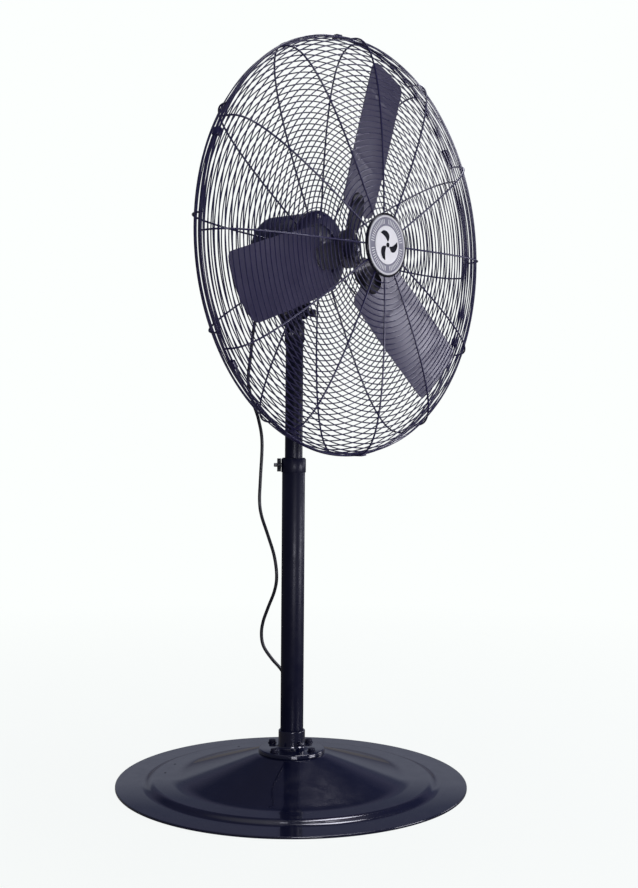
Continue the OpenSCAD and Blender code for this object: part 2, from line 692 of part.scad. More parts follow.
hank_w = 2 * fold_r + cord_d;
hank_h = hank_layers * cord_d;
module hank_tie() color(iron) in_line() translate([hank_run / 2 - 3, 0, 0]) difference() {
    translate([0, -hank_w / 2 - 1.2, 0]) cube([6, hank_w + 2.4, hank_h + 1.2]);
    translate([-1, -hank_w / 2 - 0.05, -1]) cube([8, hank_w + 0.1, hank_h + 1.05]);
}

module plug_body() color(black) in_line() translate([plug_from, 0, plug_z]) rotate([0, 90, 0])
    rotate_extrude() polygon([
        [0, 0], [4.6, 0], [5.6, 14], [13, 22], [13.8, 26], [13.8, plug_len - 2], [12.6, plug_len],
        [0, plug_len]
    ]);

module plug_pins() color(steel) in_line() translate([plug_from + plug_len + 0.02, 0, plug_z]) {
    for (y = [-6.3, 6.3]) translate([0, y - 0.75, -1]) cube([16, 1.5, 6.3]);
    translate([0, 0, -7]) rotate([0, 90, 0]) cylinder(h = 19, r = 2.4);
}

base_plate();
pole_flange();
flange_bolts();
flange_washers();
flange_nuts();
flange_set_screws();
outer_pole();
pole_collar();
collar_bushing();
clamp_knob();
clamp_screw();
inner_pole();
mast_glide();
mast_head();
mast_pin();
cord_gland();
neck_post();
tilt_bolt();
tilt_washers();
tilt_knob();
motor_bracket();
bracket_screws();
motor_shell();
front_bell();
rear_bell();
through_bolts();
stator_core();
stator_windings();
front_bearing();
rear_bearing();
capacitor();
switch_box();
switch_shaft();
speed_knob();
guard_mount_plate();
guard_screws();
rear_guard_frame();
rear_guard_rings();
front_guard_frame();
front_guard_rings();
guard_clips();
badge_plate();
badge_face();
badge_stud();
rotor_core();
shaft();
blade_hub();
hub_set_screw();
blade_spider();
blade_1();
blade_2();
blade_3();
blade_rivets();
cord_run();
cord_hank();
hank_tie();
cord_tail();
plug_body();
plug_pins();
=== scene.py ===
import json
import math

import bmesh
import bpy
from mathutils import Matrix, Vector


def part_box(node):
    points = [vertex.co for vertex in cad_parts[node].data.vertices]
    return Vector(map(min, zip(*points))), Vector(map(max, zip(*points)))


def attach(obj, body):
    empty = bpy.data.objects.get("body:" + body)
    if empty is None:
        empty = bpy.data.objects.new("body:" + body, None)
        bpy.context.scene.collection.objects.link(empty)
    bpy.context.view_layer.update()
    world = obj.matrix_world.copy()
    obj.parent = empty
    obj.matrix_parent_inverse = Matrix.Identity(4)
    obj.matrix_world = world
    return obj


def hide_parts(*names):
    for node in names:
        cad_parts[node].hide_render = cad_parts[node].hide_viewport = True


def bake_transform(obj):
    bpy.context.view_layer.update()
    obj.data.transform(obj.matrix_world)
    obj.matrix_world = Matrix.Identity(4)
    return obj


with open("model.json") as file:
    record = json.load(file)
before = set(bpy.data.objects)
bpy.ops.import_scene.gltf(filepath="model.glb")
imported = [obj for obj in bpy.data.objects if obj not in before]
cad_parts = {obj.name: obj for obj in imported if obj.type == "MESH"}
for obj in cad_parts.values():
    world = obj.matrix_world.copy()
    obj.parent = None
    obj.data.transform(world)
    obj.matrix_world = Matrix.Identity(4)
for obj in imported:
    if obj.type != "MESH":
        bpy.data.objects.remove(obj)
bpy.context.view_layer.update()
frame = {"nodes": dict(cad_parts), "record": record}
nodes = frame["nodes"]

MM = 0.001


def middle(node):
    """The centre of a CAD node's box."""
    low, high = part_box(node)
    return (low + high) / 2


AXIS_H = middle("shaft").z
FACING = Matrix.Translation((0, 0, AXIS_H)) @ Matrix.Rotation(math.radians(90), 4, "X")


# ---- camera ----

# Angles are in degrees, the lens in mm, and the rest in metres.
CAMERA_SIDE = -48.9  # round the fan from straight in front of it
CAMERA_AWAY = 2.64  # from the pole's axis
CAMERA_HEIGHT = 0.7544
CAMERA_YAW = -1.13  # off the pole's axis
CAMERA_PITCH = -1.12
CAMERA_ROLL = 0.43
LENS = 51.8


def make_camera():
    data = bpy.data.cameras.new("camera")
    data.lens = LENS
    data.sensor_width = 36
    data.clip_start = 0.05
    data.clip_end = 200
    side = math.radians(CAMERA_SIDE)
    heading = math.radians(CAMERA_SIDE + CAMERA_YAW)
    pitch = math.radians(CAMERA_PITCH)
    roll = math.radians(CAMERA_ROLL)
    ahead = Vector((
        -math.sin(heading) * math.cos(pitch),
        math.cos(heading) * math.cos(pitch),
        math.sin(pitch),
    ))
    level = Vector((math.cos(heading), math.sin(heading), 0))
    above = level.cross(ahead)
    right = math.cos(roll) * level + math.sin(roll) * above
    up = math.cos(roll) * above - math.sin(roll) * level
    camera = bpy.data.objects.new("camera", data)
    stand = Vector((math.sin(side) * CAMERA_AWAY, -math.cos(side) * CAMERA_AWAY, CAMERA_HEIGHT))
    camera.matrix_world = Matrix.Translation(stand) @ Matrix((right, up, -ahead)).transposed().to_4x4()
    bpy.context.collection.objects.link(camera)
    bpy.context.scene.camera = camera


make_camera()


# ---- materials ----


class Shader:
    """A Principled material, with helpers that add procedural detail in the object's own space."""

    def __init__(self, name, colour, rough, metal=0.0):
        self.material = bpy.data.materials.new(name)
        self.material.use_nodes = True
        self.material.diffuse_color = (*colour, 1)
        self.tree = self.material.node_tree
        self.main = self.tree.nodes["Principled BSDF"]
        self.colour = colour
        self.main.inputs["Base Color"].default_value = (*colour, 1)
        self.main.inputs["Roughness"].default_value = rough
        self.main.inputs["Metallic"].default_value = metal
        self.place = self.add("ShaderNodeTexCoord").outputs["Object"]

    def add(self, kind):
        return self.tree.nodes.new(kind)

    def join(self, a, b):
        self.tree.links.new(a, b)

    def noise(self, scale, detail, stretch=None):
        """Noise with that many cells to the metre, drawn out where stretch is below 1."""
        node = self.add("ShaderNodeTexNoise")
        node.inputs["Scale"].default_value = scale
        node.inputs["Detail"].default_value = detail
        place = self.place
        if stretch:
            mapping = self.add("ShaderNodeMapping")
            mapping.inputs["Scale"].default_value = stretch
            self.join(place, mapping.inputs["Vector"])
            place = mapping.outputs["Vector"]
        self.join(place, node.inputs["Vector"])
        return node.outputs["Fac"]

    def span(self, value, low, high, near=0.3, far=0.7):
        """Maps value from near..far to low..high."""
        node = self.add("ShaderNodeMapRange")
        node.inputs["From Min"].default_value = near
        node.inputs["From Max"].default_value = far
        node.inputs["To Min"].default_value = low
        node.inputs["To Max"].default_value = high
        self.join(value, node.inputs["Value"])
        return node.outputs["Result"]

    def blotch(self, value, colour):
        """Blends the base colour towards another where value is high."""
        node = self.add("ShaderNodeMix")
        node.data_type = "RGBA"
        node.inputs["A"].default_value = (*self.colour, 1)
        node.inputs["B"].default_value = (*colour, 1)
        self.join(value, node.inputs["Factor"])
        self.join(node.outputs["Result"], self.main.inputs["Base Color"])
        return self

    def rough(self, value):
        self.join(value, self.main.inputs["Roughness"])
        return self

    def bump(self, value, distance):
        """Raises the surface by up to distance, in metres, where value is high."""
        node = self.add("ShaderNodeBump")
        node.inputs["Distance"].default_value = distance
        node.inputs["Strength"].default_value = 1.0
        self.join(value, node.inputs["Height"])
        self.join(node.outputs["Normal"], self.main.inputs["Normal"])
        return self

    def coat(self, weight, rough):
        self.main.inputs["Coat Weight"].default_value = weight
        self.main.inputs["Coat Roughness"].default_value = rough
        return self


def enamel(name, colour, light, rough, peel, coat, coat_rough, shine=0.5):
    """Baked enamel: slight orange peel, a little dust and uneven gloss."""
    s = Shader(name, colour, rough)
    s.blotch(s.span(s.noise(9, 5), 0, 1, near=0.42, far=0.8), light)
    s.rough(s.span(s.noise(35, 4), rough * 0.75, rough * 1.35))
    s.bump(s.noise(420, 2), peel)
    s.main.inputs["Specular IOR Level"].default_value = shine
    return s.coat(coat, coat_rough).material


def plated(name, colour, light, rough):
    """Zinc-plated or ground steel with fine scratches."""
    s = Shader(name, colour, rough, metal=1.0)
    s.blotch(s.span(s.noise(160, 4), 0, 1), light)
    s.rough(s.span(s.noise(700, 3, (1, 1, 0.1)), rough * 0.7, rough * 1.5))
    return s.bump(s.noise(1500, 2, (1, 1, 0.08)), 0.00002).material


def moulded(name, colour, light, rough, grain=0.00006, scale=900):
    """Moulded plastic or rubber with a fine grain."""
    s = Shader(name, colour, rough)
    s.blotch(s.span(s.noise(60, 3), 0, 1), light)
    s.rough(s.span(s.noise(220, 3), rough * 0.85, min(1, rough * 1.2)))
    return s.bump(s.noise(scale, 2), grain).material


def blade_paint():
    """Satin paint, cloudier than the enamel."""
    s = Shader("blade_paint", (0.052, 0.047, 0.090), 0.34)
    s.blotch(s.span(s.noise(7, 6), 0, 1, near=0.35, far=0.75), (0.076, 0.068, 0.120))
    s.rough(s.span(s.noise(24, 5), 0.30, 0.46))
    s.bump(s.noise(520, 3), 0.00005)
    return s.coat(0.25, 0.2).material


def stator_iron():
    """Dark iron with the lines of its stacked sheets, which lie across the fan's axis."""
    s = Shader("stator_iron", (0.10, 0.10, 0.11), 0.5, metal=0.8)
    s.blotch(s.span(s.noise(80, 4), 0, 1), (0.16, 0.13, 0.11))
    return s.bump(s.noise(1800, 1, (0.02, 1, 0.02)), 0.00012).material


def winding_copper():
    """Varnished copper wire, wound without order."""
    s = Shader("winding_copper", (0.42, 0.16, 0.07), 0.35, metal=0.6)
    s.blotch(s.span(s.noise(300, 3), 0, 1), (0.55, 0.24, 0.10))
    return s.bump(s.noise(900, 2), 0.0004).material


def slot_materials():
    """The finish of each of the record's material slots."""
    return {
        "base_gloss": enamel(
            "base_enamel", (0.0040, 0.0054, 0.0215), (0.0060, 0.0074, 0.0260), rough=0.18,
            peel=0.00001, coat=1.0, coat_rough=0.04, shine=0.3,
        ),
        "frame_black": enamel(
            "frame_enamel", (0.0050, 0.0056, 0.0200), (0.008, 0.009, 0.026), rough=0.40,
            peel=0.00002, coat=0.08, coat_rough=0.20, shine=0.22,
        ),
        "guard_wire": enamel(
            "wire_enamel", (0.0170, 0.0140, 0.0620), (0.022, 0.018, 0.072), rough=0.34,
            peel=0.00002, coat=0.35, coat_rough=0.12,
        ),
        "motor_black": enamel(
            "motor_enamel", (0.012, 0.012, 0.034), (0.017, 0.017, 0.043), rough=0.34,
            peel=0.00006, coat=0.4, coat_rough=0.2,
        ),
        "blade_grey": blade_paint(),
        "spider_grey": enamel(
            "spider_enamel", (0.034, 0.032, 0.045), (0.050, 0.047, 0.062), rough=0.36,
            peel=0.00005, coat=0.3, coat_rough=0.2,
        ),
        "steel": plated("zinc_steel", (0.46, 0.46, 0.48), (0.60, 0.59, 0.56), 0.32),
        "bearing_steel": plated("ground_steel", (0.50, 0.51, 0.53), (0.62, 0.62, 0.64), 0.22),
        "core_iron": stator_iron(),
        "copper": winding_copper(),
        "knob_plastic": moulded("knob_plastic", (0.012, 0.012, 0.016), (0.020, 0.020, 0.026), 0.45),
        "nylon": moulded("nylon", (0.70, 0.68, 0.61), (0.76, 0.74, 0.68), 0.5),
        "cap_plastic": moulded("capacitor_plastic", (0.020, 0.020, 0.026), (0.032, 0.032, 0.040), 0.4),
        "badge_rim": moulded(
            "badge_black", (0.006, 0.006, 0.010), (0.010, 0.010, 0.015), 0.16, grain=0.00002,
        ),
        "badge_silver": moulded(
            "badge_silver", (0.76, 0.76, 0.74), (0.80, 0.80, 0.78), 0.30, grain=0.00001,
        ),
        "cord_pvc": moulded(
            "cord_pvc", (0.010, 0.010, 0.015), (0.016, 0.016, 0.022), 0.42, grain=0.00005, scale=1400,
        ),
        "plug_pins": plated("pin_brass", (0.62, 0.50, 0.26), (0.70, 0.60, 0.36), 0.25),
    }


MATERIALS = slot_materials()
BADGE_WHITE = moulded("badge_white", (0.95, 0.95, 0.90), (0.97, 0.97, 0.93), 0.35, grain=0.00001)
BADGE_GREY = moulded("badge_grey", (0.22, 0.22, 0.26), (0.27, 0.27, 0.31), 0.40, grain=0.00001)


# ---- mesh helpers ----


def add_mesh(name, shape, body, slot, *stands_for, place=None, sharp=38, look=None):
    """A new piece from (vertices, faces) in metres, which may replace CAD nodes.

    It rides on the body, unless that is None, and look is its material where the slot's own isn't wanted.
    """
    mesh = bpy.data.meshes.new(name)
    mesh.from_pydata(shape[0], [], shape[1])
    if place:
        mesh.transform(place)
    made = bmesh.new()
    made.from_mesh(mesh)
    bmesh.ops.remove_doubles(made, verts=made.verts, dist=1e-7)
    bmesh.ops.recalc_face_normals(made, faces=made.faces)
    made.to_mesh(mesh)
    made.free()
    for p in mesh.polygons:
        p.use_smooth = True
    mesh.set_sharp_from_angle(angle=math.radians(sharp))
    mesh.materials.append(look or MATERIALS[slot])
    piece = bpy.data.objects.new(name, mesh)
    bpy.context.collection.objects.link(piece)
    if body:
        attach(piece, body)
    if stands_for:
        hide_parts(*stands_for)
    return piece


def merge(*shapes):
    """Several (vertices, faces) as one."""
    points, faces = [], []
    for p, f in shapes:
        start = len(points)
        points += p
        faces += [tuple(i + start for i in face) for face in f]
    return points, faces


def rounded(profile, steps=4):
    """A closed outline of (r, z, corner radius) in mm, with its corners rounded."""
    out = []
    for i, (x, y, radius) in enumerate(profile):
        here = Vector((x, y))
        before = Vector(profile[i - 1][:2]) - here
        after = Vector(profile[(i + 1) % len(profile)][:2]) - here
        reach = min(radius, before.length * 0.48, after.length * 0.48)
        if reach < 1e-4:
            out.append(here)
            continue
        a, b = here + before.normalized() * reach, here + after.normalized() * reach
        for k in range(steps + 1):
            t = k / steps
            out.append(a * (1 - t) ** 2 + here * 2 * t * (1 - t) + b * t * t)
    return out


def lathe(outline, around=160):
    """Turns a closed outline of (r, z) in mm about Z."""
    points, faces = [], []
    count = len(outline)
    for i in range(around):
        a = 2 * math.pi * i / around
        points += [(p[0] * MM * math.cos(a), p[0] * MM * math.sin(a), p[1] * MM) for p in outline]
    for i in range(around):
        j = (i + 1) % around
        for k in range(count):
            m = (k + 1) % count
            if outline[k][0] < 1e-6 and outline[m][0] < 1e-6:
                continue
            faces.append((i * count + k, j * count + k, j * count + m, i * count + m))
    return points, faces


def circle_outline(r, z, radius, sides):
    """A round wire's outline of (r, z), for lathe."""
    return [
        (r + radius * math.cos(2 * math.pi * k / sides), z + radius * math.sin(2 * math.pi * k / sides))
        for k in range(sides)
    ]


def sweep(way, radius, sides=10):
    """A round tube along points in metres, with closed ends."""
    way = [Vector(p) for p in way]
    points, faces = [], []
    side = None
    for i, p in enumerate(way):
        ahead = (way[min(i + 1, len(way) - 1)] - way[max(i - 1, 0)]).normalized()
        if side is None:
            side = ahead.orthogonal().normalized()
        side = (side - ahead * side.dot(ahead)).normalized()
        other = ahead.cross(side)
        for k in range(sides):
            a = 2 * math.pi * k / sides
            points.append(p + radius * (math.cos(a) * side + math.sin(a) * other))
    for i in range(len(way) - 1):
        for k in range(sides):
            m = (k + 1) % sides
            faces.append((i * sides + k, i * sides + m, (i + 1) * sides + m, (i + 1) * sides + k))
    faces.append(tuple(reversed(range(sides))))
    faces.append(tuple((len(way) - 1) * sides + k for k in range(sides)))
    return points, faces


def smooth_way(points, steps=8):
    """Catmull-Rom curve through the points."""
    out = []
    for i in range(len(points) - 1):
        a, b = points[max(i - 1, 0)], points[i]
        c, d = points[i + 1], points[min(i + 2, len(points) - 1)]
        square, cube = 2 * a - 5 * b + 4 * c - d, 3 * b - a - 3 * c + d
        for k in range(steps):
            t = k / steps
            out.append(0.5 * (2 * b + (c - a) * t + square * t**2 + cube * t**3))
    return out + [points[-1]]


# ---- cord ----

CORD_RADIUS = 0.0035
ROUTE = [
    (0, 0.026, 0.9562), (0, 0.038, 0.967), (0, 0.054, 0.9795), (0, 0.074, 0.987), (0, 0.095, 0.982),
    (0, 0.109, 0.965), (0, 0.117, 0.935), (0, 0.123, 0.890), (0, 0.130, 0.845), (0, 0.127, 0.817),
    (0, 0.115, 0.787), (0, 0.099, 0.751), (0, 0.089, 0.704), (0, 0.093, 0.627), (0, 0.095, 0.581),
    (0, 0.089, 0.549), (0, 0.070, 0.508), (0, 0.052, 0.466), (0, 0.045, 0.425), (0, 0.051, 0.393),
    (0, 0.069, 0.356), (0, 0.083, 0.324), (0, 0.087, 0.297), (0.004, 0.084, 0.272), (0.018, 0.074, 0.246),
    (0.040, 0.064, 0.218), (0.060, 0.059, 0.180), (0.073, 0.064, 0.140), (0.081, 0.071, 0.100),
    (0.092, 0.080, 0.070), (0.107, 0.093, 0.052), (0.128, 0.112, 0.0394), (0.158, 0.138, 0.0264),
    (0.185, 0.161, 0.0174), (0.218, 0.191, 0.017), (0.244, 0.212, 0.0104), (0.268, 0.233, 0.0084),
    (0.297, 0.246, 0.0046), (0.320, 0.254, 0.0037), (0.338, 0.267, 0.0036),
]
# The hank's own frame has X along its runs. The last run turns in to the middle and becomes the tail.
HANK_ALONG = 41.1  # degrees from +X
HANK_FROM = 0.443  # from the pole's axis
HANK_RUN = 0.126
RUN_END = 0.012  # from a run's first and last points to its folds
RUN_POINTS = 5
FOLD_RADIUS = 0.021
FOLD_STEPS = 8
HANK_RUNS = 7
LAST_RUN = [(0.075, -0.0185), (0.100, -0.0125), (0.125, -0.0065)]
TAIL = [
    (0.146, -0.003, 0.0244), (0.158, -0.001, 0.023), (0.170, 0, 0.019), (0.182, 0, 0.0152), (0.192, 0, 0.014),
]


def hank_turns():
    """The folded length in the hank's own frame: runs on two sides, joined by half circles at the ends."""
    step = (HANK_RUN - 2 * RUN_END) / (RUN_POINTS - 1)
    stops = [RUN_END + step * i for i in range(RUN_POINTS)]
    way = []
    for k in range(HANK_RUNS):
        going_out = k % 2 == 0
        z = CORD_RADIUS * (1 + 2 * (k // 2))
        if going_out:
            run = [(x, -FOLD_RADIUS, z) for x in stops]
        else:
            run = [(x, FOLD_RADIUS, z) for x in reversed(stops)]
        if k == HANK_RUNS - 1:
            way += run[:2] + [(x, y, z) for x, y in LAST_RUN]
            break
        way += run
        centre, start, climb = (HANK_RUN, -90, 0) if going_out else (0, 90, 2 * CORD_RADIUS)
        for i in range(FOLD_STEPS + 1):
            a = math.radians(start + 180 * i / FOLD_STEPS)
            x, y = centre + FOLD_RADIUS * math.cos(a), FOLD_RADIUS * math.sin(a)
            way.append((x, y, z + climb * i / FOLD_STEPS))
    return way


def hank_place(p):
    """A point of the hank's own frame in the fan's."""
    a = math.radians(HANK_ALONG)
    x = p[0] + HANK_FROM
    return Vector((x * math.cos(a) - p[1] * math.sin(a), x * math.sin(a) + p[1] * math.cos(a), p[2]))


def make_cord():
    way = smooth_way([Vector(p) for p in ROUTE] + [hank_place(p) for p in hank_turns() + TAIL])
    stands_for = ("cord_run", "cord_hank", "cord_tail")
    cord = add_mesh("mains_cord", sweep(way, CORD_RADIUS, 12), None, "cord_pvc", *stands_for)
    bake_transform(cord)


make_cord()


# ---- base ----

BASE_R = 362
BASE_SHEET = 2.5
CROWN = 65  # height of the flat top that the pole's foot stands on
CABLE_HOLE_R = 14
# The bends of the sheet's top, each (r, z, corner radius).
PRESSING = [(71, CROWN, 8), (237, 14.2, 14), (290, 13, 7), (303, 5, 7)]
HOLE_SPOTS = (-37, -22, 22, 37)
HOLE_CIRCLE = 264
HOLE_R = 2.6


def drilled(piece, cutter):
    """Cuts one piece out of another for good."""
    cut = piece.modifiers.new("holes", "BOOLEAN")
    cut.object = cutter
    cut.solver = "EXACT"
    bpy.context.view_layer.update()
    seen = piece.evaluated_get(bpy.context.evaluated_depsgraph_get())
    mesh = bpy.data.meshes.new_from_object(seen)
    piece.modifiers.clear()
    piece.data = mesh
    bpy.data.objects.remove(cutter)


def make_base():
    """The pressed base plate as one smooth sheet, with its four accessory holes."""
    inside = BASE_R - BASE_SHEET
    top = [(CABLE_HOLE_R, CROWN, 0)] + PRESSING + [(BASE_R, 4.5, 1.8), (BASE_R, 0, 0.4)]
    under = [(inside, 0, 0.4), (inside, 4.5 - BASE_SHEET, 0.8)]
    under += [(r - 1, z - BASE_SHEET, corner) for r, z, corner in reversed(PRESSING)]
    under += [(CABLE_HOLE_R, CROWN - BASE_SHEET, 0)]
    sheet = lathe(rounded(top + under, 8), 256)
    plate = add_mesh("base_sheet", sheet, "stand", "base_gloss", "base_plate", sharp=50)
    drill, sides = lathe([(0, 8), (HOLE_R, 8), (HOLE_R, 16), (0, 16)], 20)
    drills = []
    for spot in HOLE_SPOTS:
        a = math.radians(90 + spot)
        move = HOLE_CIRCLE * MM * Vector((math.cos(a), math.sin(a), 0))
        drills.append(([Vector(p) + move for p in drill], sides))
    points, faces = merge(*drills)
    cutter = bpy.data.objects.new("drill", bpy.data.meshes.new("drill"))
    cutter.data.from_pydata(points, [], faces)
    bpy.context.collection.objects.link(cutter)
    drilled(plate, cutter)


def make_flange():
    """Cast foot of the pole: a rounded disc and a socket with a soft fillet between them."""
    outline = [
        (CABLE_HOLE_R, CROWN, 0), (69, CROWN, 0.8), (69, 73, 4.5), (36, 73.4, 4), (29, 75, 4), (27.5, 80, 4),
        (27.5, 110, 2.2), (23.9, 110, 0.6), (23.9, 67, 0),
    ]
    add_mesh("pole_foot", lathe(rounded(outline, 6), 128), "stand", "base_gloss", "pole_flange")


make_base()
make_flange()


# ---- blades ----

# A blade's own frame has X from the axis to the tip and Y across. Lengths are in mm and angles in degrees.
BLADES = 3
BLADE_REST = 12.5  # the first blade's turn from upright
BLADE_TIP = 372
BLADE_ROOT = 80
BLADE_HALF = 68
ROOT_HALF = 64
WIDENS_FROM, WIDENS_OVER = 100, 90
ROOT_CORNER = 18
TIP_CORNERS = (14, 20)  # at the edge where Y is below 0, and at the other
BLADE_T = 1.8
BLADE_F = 140  # forward of the pole's axis
BLADE_PITCH = 11
BLADE_RAKE = 5.5
CAMBER_R = 420
CAMBER_DROP = 4
CREASES = (176, 312)
CREASE_HEIGHT = 0.9
CREASE_WIDTH = 3.2
CREASE_LEAN = 0.12
CREASE_HALF = 66


def blade_half(u, side):
    """Half the blade's width at distance u from the axis; its corners at both ends are rounded."""
    grow = min(1, max(0, (u - WIDENS_FROM) / WIDENS_OVER))
    half = ROOT_HALF + (BLADE_HALF - ROOT_HALF) * grow
    tip_corner = TIP_CORNERS[0 if side < 0 else 1]
    tip = math.sqrt(BLADE_TIP**2 - half**2 * 0.8)  # how far out the tip's edge is near its corners
    for corner, away in ((ROOT_CORNER, u - BLADE_ROOT), (tip_corner, tip - u)):
        if away < corner:
            short = corner - max(away, 0)
            half -= corner - math.sqrt(max(corner**2 - short**2, 0))
    return half


def blade_end(v):
    """Distance of the tip's edge from the axis at offset v."""
    return math.sqrt(BLADE_TIP**2 - v**2)


def blade_z(u, v):
    """Height of the sheet's middle: curved across, with a shallow pressed crease at two stations."""
    z = CAMBER_R - CAMBER_DROP - math.sqrt(CAMBER_R**2 - v**2)
    for crease in CREASES:
        off = (u - crease - v * CREASE_LEAN) / CREASE_WIDTH
        z += CREASE_HEIGHT * math.exp(-(off**2)) * max(0, 1 - (v / CREASE_HALF) ** 4)
    return z


def blade_shape():
    """The sheet as a grid from root to tip and from edge to edge, with a front and a back face."""
    along, across = 120, 28
    reach = (BLADE_TIP - BLADE_ROOT) / 2
    us = [BLADE_ROOT + reach * (1 - math.cos(math.pi * k / along)) for k in range(along + 1)]
    points, faces = [], []
    for face in (0.5, -0.5):
        for u in us:
            for j in range(across + 1):
                t = 2 * j / across - 1
                v = t * blade_half(u, t)
                x = min(u, blade_end(v))
                points.append((x * MM, v * MM, (blade_z(x, v) + face * BLADE_T) * MM))
    row, side = across + 1, (along + 1) * (across + 1)
    for i in range(along):
        for j in range(across):
            a = i * row + j
            faces.append((a, a + 1, a + row + 1, a + row))
            faces.append((side + a, side + a + row, side + a + row + 1, side + a + 1))
    border = list(range(row))
    border += [i * row + across for i in range(1, along + 1)]
    border += [along * row + j for j in range(across - 1, -1, -1)]
    border += [i * row for i in range(along - 1, 0, -1)]
    for a, b in zip(border, border[1:] + border[:1]):
        faces.append((a, a + side, b + side, b))
    return points, faces


def blade_place(i):
    """Blade i's own frame in the fan's."""
    turn = Matrix.Rotation(math.radians(90 - BLADE_REST - i * 360 / BLADES), 4, "Z")
    rake = Matrix.Rotation(math.radians(-BLADE_RAKE), 4, "Y")
    pitch = Matrix.Rotation(math.radians(BLADE_PITCH), 4, "X")
    return FACING @ turn @ Matrix.Translation((0, 0, BLADE_F * MM)) @ rake @ pitch


def make_blades():
    for i in range(BLADES):
        node = f"blade_{i + 1}"
        add_mesh(node + "_sheet", blade_shape(), "rotor", "blade_grey", node, place=blade_place(i), sharp=50)


make_blades()


# ---- stage and light ----

STUDIO_WHITE = (0.975, 1.0, 0.988, 1)
FLOOR_PALE = (0.86, 0.88, 0.87, 1)
FLOOR_DULL = (0.10, 0.095, 0.10, 1)  # the floor's glow, as reflections show it
FADE_FROM, FADE_TO = 0.5, 2.6  # metres from the pole over which the floor fades into the white
# The sine of the height above the horizon, and the shade that the studio has there for light and reflections.
STUDIO_SHADES = (
    (0.02, (0.060, 0.062, 0.090)),
    (0.27, (0.235, 0.250, 0.310)),
    (0.32, (0.070, 0.080, 0.130)),
    (0.40, (0.100, 0.100, 0.160)),
    (0.52, (0.032, 0.036, 0.070)),
    (0.80, (0.070, 0.070, 0.115)),
    (1.00, (0.500, 0.500, 0.550)),
)
LAMP_TINT = (0.89, 0.88, 1.0)
# Each lamp's place, the point it faces, its width and height, and its power in watts.
LAMPS = {
    "key": ((1.4, -2.9, 0.55), (0, -0.2, 0.95), (1.3, 0.9), 46),
    "side": ((2.9, -1.2, 0.95), (0, -0.2, 1.1), (1.0, 1.0), 12),
    "front": ((-2.5, -3.0, 0.6), (0, -0.1, 0.9), (1.2, 1.0), 50),
    "top": ((0.3, -0.4, 3.8), (0, 0, 0.5), (1.6, 1.6), 28),
    "back": ((1.3, 0.4, 2.75), (0, -0.1, 0), (0.5, 1.1), 16),
}


def make_stage():
    """A pale floor that fades into the studio's white, and that is dim in reflections."""
    bpy.ops.mesh.primitive_circle_add(vertices=96, radius=60, fill_type="NGON", location=(0, 0, -0.0005))
    floor = bpy.context.object
    floor.name = "floor"
    pale = bpy.data.materials.new("pale_floor")
    pale.use_nodes = True
    tree = pale.node_tree
    tree.nodes.clear()
    out = tree.nodes.new("ShaderNodeOutputMaterial")
    mix = tree.nodes.new("ShaderNodeMixShader")
    matt = tree.nodes.new("ShaderNodeBsdfDiffuse")
    matt.inputs["Color"].default_value = FLOOR_PALE
    glow = tree.nodes.new("ShaderNodeEmission")
    glow.inputs["Color"].default_value = STUDIO_WHITE
    dull = tree.nodes.new("ShaderNodeEmission")
    dull.inputs["Color"].default_value = FLOOR_DULL
    path = tree.nodes.new("ShaderNodeLightPath")
    both = tree.nodes.new("ShaderNodeMixShader")
    place = tree.nodes.new("ShaderNodeTexCoord")
    length = tree.nodes.new("ShaderNodeVectorMath")
    length.operation = "LENGTH"
    fade = tree.nodes.new("ShaderNodeMapRange")
    fade.inputs["From Min"].default_value = FADE_FROM
    fade.inputs["From Max"].default_value = FADE_TO
    fade.inputs["To Min"].default_value = 0.90
    fade.inputs["To Max"].default_value = 1.0
    tree.links.new(place.outputs["Object"], length.inputs[0])
    tree.links.new(length.outputs["Value"], fade.inputs["Value"])
    tree.links.new(fade.outputs["Result"], mix.inputs["Fac"])
    tree.links.new(matt.outputs["BSDF"], mix.inputs[1])
    tree.links.new(glow.outputs["Emission"], mix.inputs[2])
    tree.links.new(path.outputs["Is Camera Ray"], both.inputs["Fac"])
    tree.links.new(dull.outputs["Emission"], both.inputs[1])
    tree.links.new(mix.outputs["Shader"], both.inputs[2])
    tree.links.new(both.outputs["Shader"], out.inputs["Surface"])
    floor.data.materials.append(pale)


def make_world():
    """White to the camera, and a darker, shaded studio to everything that it lights."""
    world = bpy.data.worlds.new("studio")
    bpy.context.scene.world = world
    world.use_nodes = True
    tree = world.node_tree
    tree.nodes.clear()
    out = tree.nodes.new("ShaderNodeOutputWorld")
    mix = tree.nodes.new("ShaderNodeMixShader")
    seen = tree.nodes.new("ShaderNodeBackground")
    seen.inputs["Color"].default_value = STUDIO_WHITE
    lit = tree.nodes.new("ShaderNodeBackground")
    path = tree.nodes.new("ShaderNodeLightPath")
    place = tree.nodes.new("ShaderNodeTexCoord")
    split = tree.nodes.new("ShaderNodeSeparateXYZ")
    ramp = tree.nodes.new("ShaderNodeValToRGB")
    stops = ramp.color_ramp.elements
    stops[0].position = STUDIO_SHADES[0][0]
    for height, shade in STUDIO_SHADES[1:-1]:
        stops.new(height)
    for stop, (height, shade) in zip(stops, STUDIO_SHADES):
        stop.color = (*shade, 1)
    tree.links.new(place.outputs["Generated"], split.inputs["Vector"])
    tree.links.new(split.outputs["Z"], ramp.inputs["Fac"])
    tree.links.new(ramp.outputs["Color"], lit.inputs["Color"])
    tree.links.new(path.outputs["Is Camera Ray"], mix.inputs["Fac"])
    tree.links.new(lit.outputs["Background"], mix.inputs[1])
    tree.links.new(seen.outputs["Background"], mix.inputs[2])
    tree.links.new(mix.outputs["Shader"], out.inputs["Surface"])


